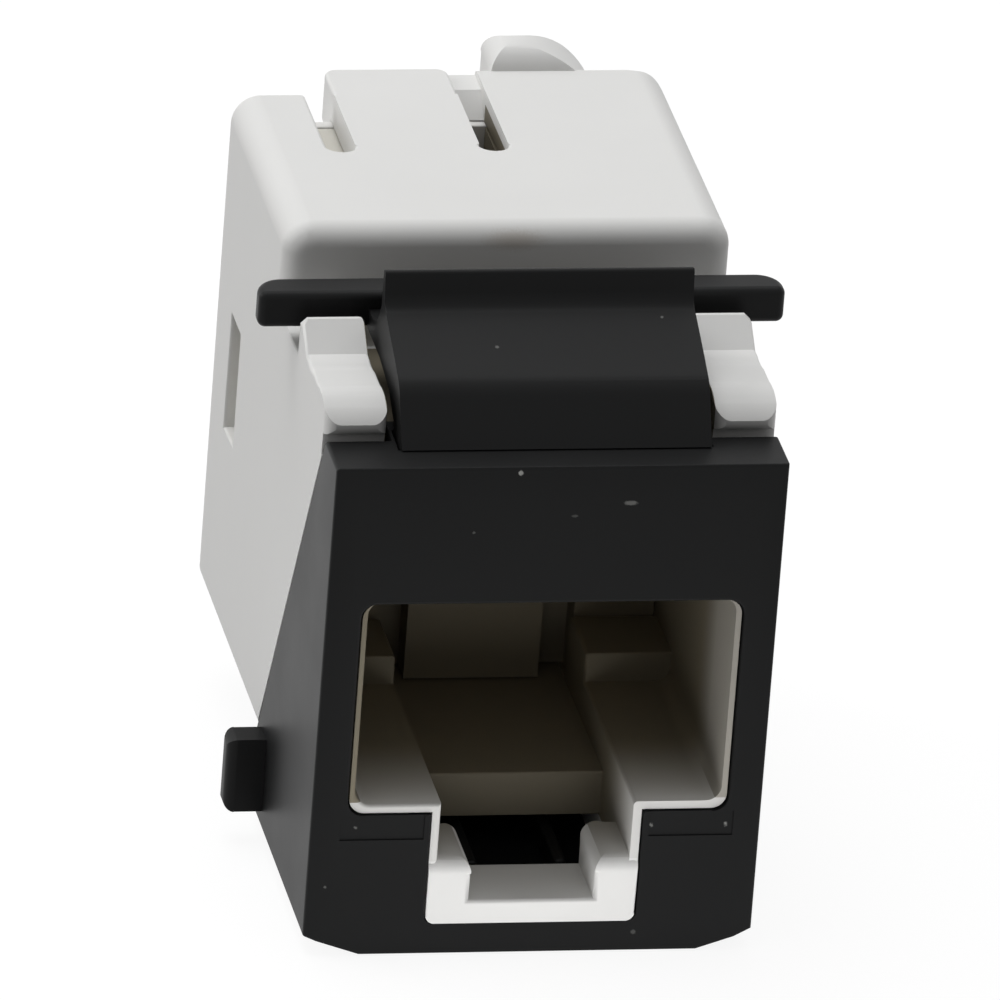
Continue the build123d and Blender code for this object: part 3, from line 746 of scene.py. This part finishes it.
# the small groove across each shoulder gets sloping walls, so that it shades softly
def softenGroove(bm):
    groove = shoulderGroove
    outer = [corner for corner in bm.verts if abs(corner.co.x) > groove["inner"]]
    floor = [corner for corner in outer if abs(corner.co.z - groove["bottom"]) < groove["slack"]]
    low = sorted(corner.co.y for corner in floor)
    for corner in floor:
        corner.co.z += groove["lift"]
    for corner in outer:
        if abs(corner.co.z - groove["top"]) < groove["slack"]:
            for side, edge in ((-1, low[0]), (1, low[-1])):
                if abs(corner.co.y - edge) < groove["beside"]:
                    corner.co.y += side * groove["spread"]


keeperEnd = {
    "before": 2.5 * mm,
    "below": 4.2 * mm,
}
shoulderNoses = {
    "before": 5.2 * mm,
    "above": 16.4 * mm,
}

# the keeper is rounder than the rest, and the shoulders' noses keep one small rounding
jackHousingLook = dict(
    frontFrameLook,
    reshape=softenGroove,
    node="jack_housing",
    piece="jackHousing",
    slot="white_plastic",
    material=whitePlastic,
    edge=0.45,
    fine=0.3,
    slack=0.32,
    wide=lambda place: place.y < keeperEnd["before"] and place.z < keeperEnd["below"],
    steady=lambda place: place.y < shoulderNoses["before"] and place.z > shoulderNoses["above"],
    steps=3,
)
softMoulding(jackHousingLook)

rearCoverLook = dict(
    jackHousingLook,
    reshape=None,
    wide=None,
    steady=None,
    fine=1.0,
    slack=0.42,
    steps=2,
    node="rear_cover",
    piece="rearCover",
    slot="cover_plastic",
    material=coverPlastic,
    edge=0.12,
)
softMoulding(rearCoverLook)


def finishNode(nodeName, material):
    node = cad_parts[nodeName]
    node.data.materials.clear()
    node.data.materials.append(material)


for nodeName, material in (
    ("contact_carrier", insertPlastic),
    ("terminal_block", insertPlastic),
    ("circuit_board", boardLacquer),
):
    finishNode(nodeName, material)
wayCount = 8
for number in range(wayCount):
    finishNode(f"contact_wire_{number + 1}", goldPlate)
    finishNode(f"idc_contact_{number + 1}", tinPlate)
print("pieces ready")


# solder: a pad and a hollow-sided cone on the board's rear face around each wire's tail
solderLook = {
    "start": (-3.57, 15.0, 12.7),
    "pitch": 2.04,
    "rowAside": 1.02,
    "rowStep": 1.0,
    "perRow": 4,
    "padRadius": 0.5,
    "padHeight": 0.03,
    "footRadius": 0.42,
    "tipRadius": 0.2,
    "height": 0.3,
    "hollow": 0.22,
    "sides": 24,
    "rings": 8,
    "leastSize": 0.9,
    "mostSize": 1.0,
    "seed": 4,
}


def makeSolderTree(look):
    tree = bpy.data.node_groups.new("solderJoints", "GeometryNodeTree")
    for label, kind in (
        ("Start", "NodeSocketVector"), ("Pitch", "NodeSocketFloat"), ("Row Aside", "NodeSocketFloat"),
        ("Row Step", "NodeSocketFloat"), ("Per Row", "NodeSocketInt"), ("Pad Radius", "NodeSocketFloat"),
        ("Pad Height", "NodeSocketFloat"), ("Foot Radius", "NodeSocketFloat"),
        ("Tip Radius", "NodeSocketFloat"), ("Height", "NodeSocketFloat"), ("Hollow", "NodeSocketFloat"),
        ("Seed", "NodeSocketInt"), ("Metal", "NodeSocketMaterial"),
    ):
        tree.interface.new_socket(label, in_out="INPUT", socket_type=kind)
    tree.interface.new_socket("Geometry", in_out="OUTPUT", socket_type="NodeSocketGeometry")
    given = tree.nodes.new("NodeGroupInput").outputs
    link = tree.links.new

    def vector(x, y, z):
        node = tree.nodes.new("ShaderNodeCombineXYZ")
        for socket, value in zip(node.inputs, (x, y, z)):
            if value is not None:
                link(value, socket)
        return node.outputs[0]

    rows = tree.nodes.new("GeometryNodeJoinGeometry")
    across = vector(given["Pitch"], None, None)
    second = tree.nodes.new("ShaderNodeVectorMath")
    link(given["Start"], second.inputs[0])
    link(vector(given["Row Aside"], None, given["Row Step"]), second.inputs[1])
    for start in (given["Start"], second.outputs["Vector"]):
        line = tree.nodes.new("GeometryNodeMeshLine")
        link(given["Per Row"], line.inputs["Count"])
        link(start, line.inputs["Start Location"])
        link(across, line.inputs["Offset"])
        link(line.outputs["Mesh"], rows.inputs[0])

    pad = tree.nodes.new("GeometryNodeMeshCylinder")
    pad.inputs["Vertices"].default_value = look["sides"]
    link(given["Pad Radius"], pad.inputs["Radius"])
    link(given["Pad Height"], pad.inputs["Depth"])
    cone = tree.nodes.new("GeometryNodeMeshCone")
    cone.inputs["Vertices"].default_value = look["sides"]
    cone.inputs["Side Segments"].default_value = look["rings"]
    link(given["Tip Radius"], cone.inputs["Radius Top"])
    link(given["Foot Radius"], cone.inputs["Radius Bottom"])
    link(given["Height"], cone.inputs["Depth"])
    place = tree.nodes.new("ShaderNodeSeparateXYZ")
    link(tree.nodes.new("GeometryNodeInputPosition").outputs[0], place.inputs[0])
    rise = mathNode(tree, "DIVIDE", place.outputs["Z"], given["Height"])
    bow = mathNode(tree, "SINE", mathNode(tree, "MULTIPLY", rise, math.pi))
    slim = mathNode(tree, "SUBTRACT", 1.0, mathNode(tree, "MULTIPLY", bow, given["Hollow"]))
    hollowed = vector(
        mathNode(tree, "MULTIPLY", place.outputs["X"], slim),
        mathNode(tree, "MULTIPLY", place.outputs["Y"], slim),
        place.outputs["Z"],
    )
    shaped = tree.nodes.new("GeometryNodeSetPosition")
    link(cone.outputs["Mesh"], shaped.inputs["Geometry"])
    link(hollowed, shaped.inputs["Position"])
    joint = tree.nodes.new("GeometryNodeJoinGeometry")
    link(pad.outputs["Mesh"], joint.inputs[0])
    link(shaped.outputs["Geometry"], joint.inputs[0])

    spread = tree.nodes.new("GeometryNodeInstanceOnPoints")
    link(rows.outputs[0], spread.inputs["Points"])
    link(joint.outputs[0], spread.inputs["Instance"])
    spread.inputs["Rotation"].default_value = (-math.pi / 2, 0, 0)
    size = tree.nodes.new("FunctionNodeRandomValue")
    size.data_type = "FLOAT"
    size.inputs[2].default_value = look["leastSize"]
    size.inputs[3].default_value = look["mostSize"]
    link(given["Seed"], size.inputs["Seed"])
    link(size.outputs[1], spread.inputs["Scale"])
    real = tree.nodes.new("GeometryNodeRealizeInstances")
    link(spread.outputs["Instances"], real.inputs["Geometry"])
    finish = tree.nodes.new("GeometryNodeSetMaterial")
    link(real.outputs["Geometry"], finish.inputs["Geometry"])
    link(given["Metal"], finish.inputs["Material"])
    link(finish.outputs["Geometry"], tree.nodes.new("NodeGroupOutput").inputs[0])
    return tree


def solderJoints(look):
    rough = bpy.data.objects.new("solderRough", bpy.data.meshes.new("solderRough"))
    scene.collection.objects.link(rough)
    grown = rough.modifiers.new("grown", "NODES")
    grown.node_group = makeSolderTree(look)
    values = {
        "Start": tuple(Vector(look["start"]) * mm),
        "Pitch": look["pitch"] * mm,
        "Row Aside": look["rowAside"] * mm,
        "Row Step": look["rowStep"] * mm,
        "Per Row": look["perRow"],
        "Pad Radius": look["padRadius"] * mm,
        "Pad Height": look["padHeight"] * mm,
        "Foot Radius": look["footRadius"] * mm,
        "Tip Radius": look["tipRadius"] * mm,
        "Height": look["height"] * mm,
        "Hollow": look["hollow"],
        "Seed": look["seed"],
        "Metal": tinPlate,
    }
    for item in grown.node_group.interface.items_tree:
        if item.in_out == "INPUT":
            grown[item.identifier] = values[item.name]
    mesh = finishedMesh(rough, "solderJoints")
    for polygon in mesh.polygons:
        polygon.use_smooth = len(polygon.vertices) == 4
    piece = bpy.data.objects.new("solderJoints", mesh)
    scene.collection.objects.link(piece)
    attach(piece, "jack_body")
    print("solder joints", len(mesh.polygons), "faces")


solderJoints(solderLook)


# studio: a broad lamp above, cards at the sides, and a table that is bright near the front
studio = {
    "floorHeight": -0.05 * mm,
    "floorSize": 8.0,
    "brightSpot": (0.0, -0.012, 0.0),
    "brightReach": 0.004,
    "brightEnd": 0.024,
    "nearWhite": 0.8,
    "nearGlow": 2.0,
    "farShare": 0.08,
    "seenWhite": 0.14,
    "seenGlow": 0.9,
    "skyStart": 0.1,
    "skyEnd": 0.9,
    "skyLow": 0.06,
    "skyHigh": 0.42,
    "skySeen": 1.0,
}


# 1 where the table or the surroundings are seen, straight or in a shiny surface, else 0
def seenShare(tree):
    path = tree.nodes.new("ShaderNodeLightPath").outputs
    shiny = mathNode(tree, "MAXIMUM", path["Is Glossy Ray"], path["Is Transmission Ray"])
    return mathNode(tree, "MAXIMUM", path["Is Camera Ray"], shiny)


# what is seen of the table is nearly white; the light that the part gets from it fades outwards
def makeFloor(s):
    bm = bmesh.new()
    bmesh.ops.create_grid(bm, x_segments=1, y_segments=1, size=s["floorSize"] / 2)
    bmesh.ops.translate(bm, verts=bm.verts, vec=(0, 0, s["floorHeight"]))
    mesh = bpy.data.meshes.new("tableTop")
    bm.to_mesh(mesh)
    bm.free()
    floor = bpy.data.objects.new("tableTop", mesh)
    scene.collection.objects.link(floor)
    material = bpy.data.materials.new("tablePaper")
    material.use_nodes = True
    tree = material.node_tree
    tree.nodes.clear()
    place = tree.nodes.new("ShaderNodeNewGeometry")
    gap = tree.nodes.new("ShaderNodeVectorMath")
    gap.operation = "DISTANCE"
    tree.links.new(place.outputs["Position"], gap.inputs[0])
    gap.inputs[1].default_value = s["brightSpot"]
    near = rangeNode(tree, gap.outputs["Value"], s["brightReach"], s["brightEnd"], 1.0, s["farShare"])
    out = tree.nodes.new("ShaderNodeOutputMaterial")
    path = tree.nodes.new("ShaderNodeLightPath")
    choose = tree.nodes.new("ShaderNodeMixShader")
    sides = []
    lighting = (s["nearWhite"], s["nearGlow"], near)
    seen = (s["seenWhite"], s["seenGlow"], None)
    for white, glow, share in (lighting, seen):
        both = tree.nodes.new("ShaderNodeAddShader")
        diffuse = tree.nodes.new("ShaderNodeBsdfDiffuse")
        emit = tree.nodes.new("ShaderNodeEmission")
        diffuse.inputs["Color"].default_value = (white, white, white, 1)
        emit.inputs["Strength"].default_value = glow
        if share is not None:
            tree.links.new(scaledColour(tree, (white, white, white), share), diffuse.inputs["Color"])
            tree.links.new(mathNode(tree, "MULTIPLY", share, glow), emit.inputs["Strength"])
        tree.links.new(diffuse.outputs[0], both.inputs[0])
        tree.links.new(emit.outputs[0], both.inputs[1])
        sides.append(both)
    tree.links.new(seenShare(tree), choose.inputs["Fac"])
    tree.links.new(sides[0].outputs[0], choose.inputs[1])
    tree.links.new(sides[1].outputs[0], choose.inputs[2])
    clear = tree.nodes.new("ShaderNodeBsdfTransparent")
    below = tree.nodes.new("ShaderNodeMixShader")
    seenBelow = mathNode(tree, "MULTIPLY", place.outputs["Backfacing"], path.outputs["Is Camera Ray"])
    tree.links.new(seenBelow, below.inputs["Fac"])
    tree.links.new(choose.outputs[0], below.inputs[1])
    tree.links.new(clear.outputs[0], below.inputs[2])
    tree.links.new(below.outputs[0], out.inputs["Surface"])
    mesh.materials.append(material)


# the surroundings are dark level with the part and brighter overhead
def makeWorld(s):
    world = bpy.data.worlds.new("studioWorld")
    scene.world = world
    world.use_nodes = True
    tree = world.node_tree
    coords = tree.nodes.new("ShaderNodeTexCoord")
    split = tree.nodes.new("ShaderNodeSeparateXYZ")
    tree.links.new(coords.outputs["Generated"], split.inputs[0])
    sky = rangeNode(tree, split.outputs["Z"], s["skyStart"], s["skyEnd"], s["skyLow"], s["skyHigh"])
    strength = tree.nodes.new("ShaderNodeMix")
    strength.data_type = "FLOAT"
    tree.links.new(seenShare(tree), strength.inputs["Factor"])
    tree.links.new(sky, strength.inputs[2])
    strength.inputs[3].default_value = s["skySeen"]
    background = tree.nodes["Background"]
    background.inputs["Color"].default_value = (1, 1, 1, 1)
    tree.links.new(strength.outputs[0], background.inputs["Strength"])


# a soft lamp that points at the middle of the part
def softLamp(name, look):
    data = bpy.data.lights.new(name, "AREA")
    data.shape = "RECTANGLE"
    data.size, data.size_y = look["size"]
    data.energy = look["power"]
    data.color = look["colour"]
    lamp = bpy.data.objects.new(name, data)
    scene.collection.objects.link(lamp)
    lamp.location = look["place"]
    aim = camera["target"] - Vector(look["place"])
    lamp.rotation_mode = "QUATERNION"
    lamp.rotation_quaternion = aim.to_track_quat("-Z", "Y")


topBox = {
    "place": (-0.06, 0.10, 0.42),
    "size": (0.3, 0.3),
    "power": 0.84,
    "colour": (0.99, 1.0, 1.01),
}
leftCard = {
    "place": (-0.40, 0.16, 0.20),
    "size": (0.24, 0.3),
    "power": 0.85,
    "colour": (1.0, 1.0, 1.0),
}
rightCard = {
    "place": (0.42, 0.12, 0.2),
    "size": (0.2, 0.3),
    "power": 0.25,
    "colour": (1.0, 1.0, 1.0),
}

makeFloor(studio)
makeWorld(studio)
softLamp("topBox", topBox)
softLamp("leftCard", leftCard)
softLamp("rightCard", rightCard)
scene.view_settings.view_transform = "Standard"
print("studio ready")
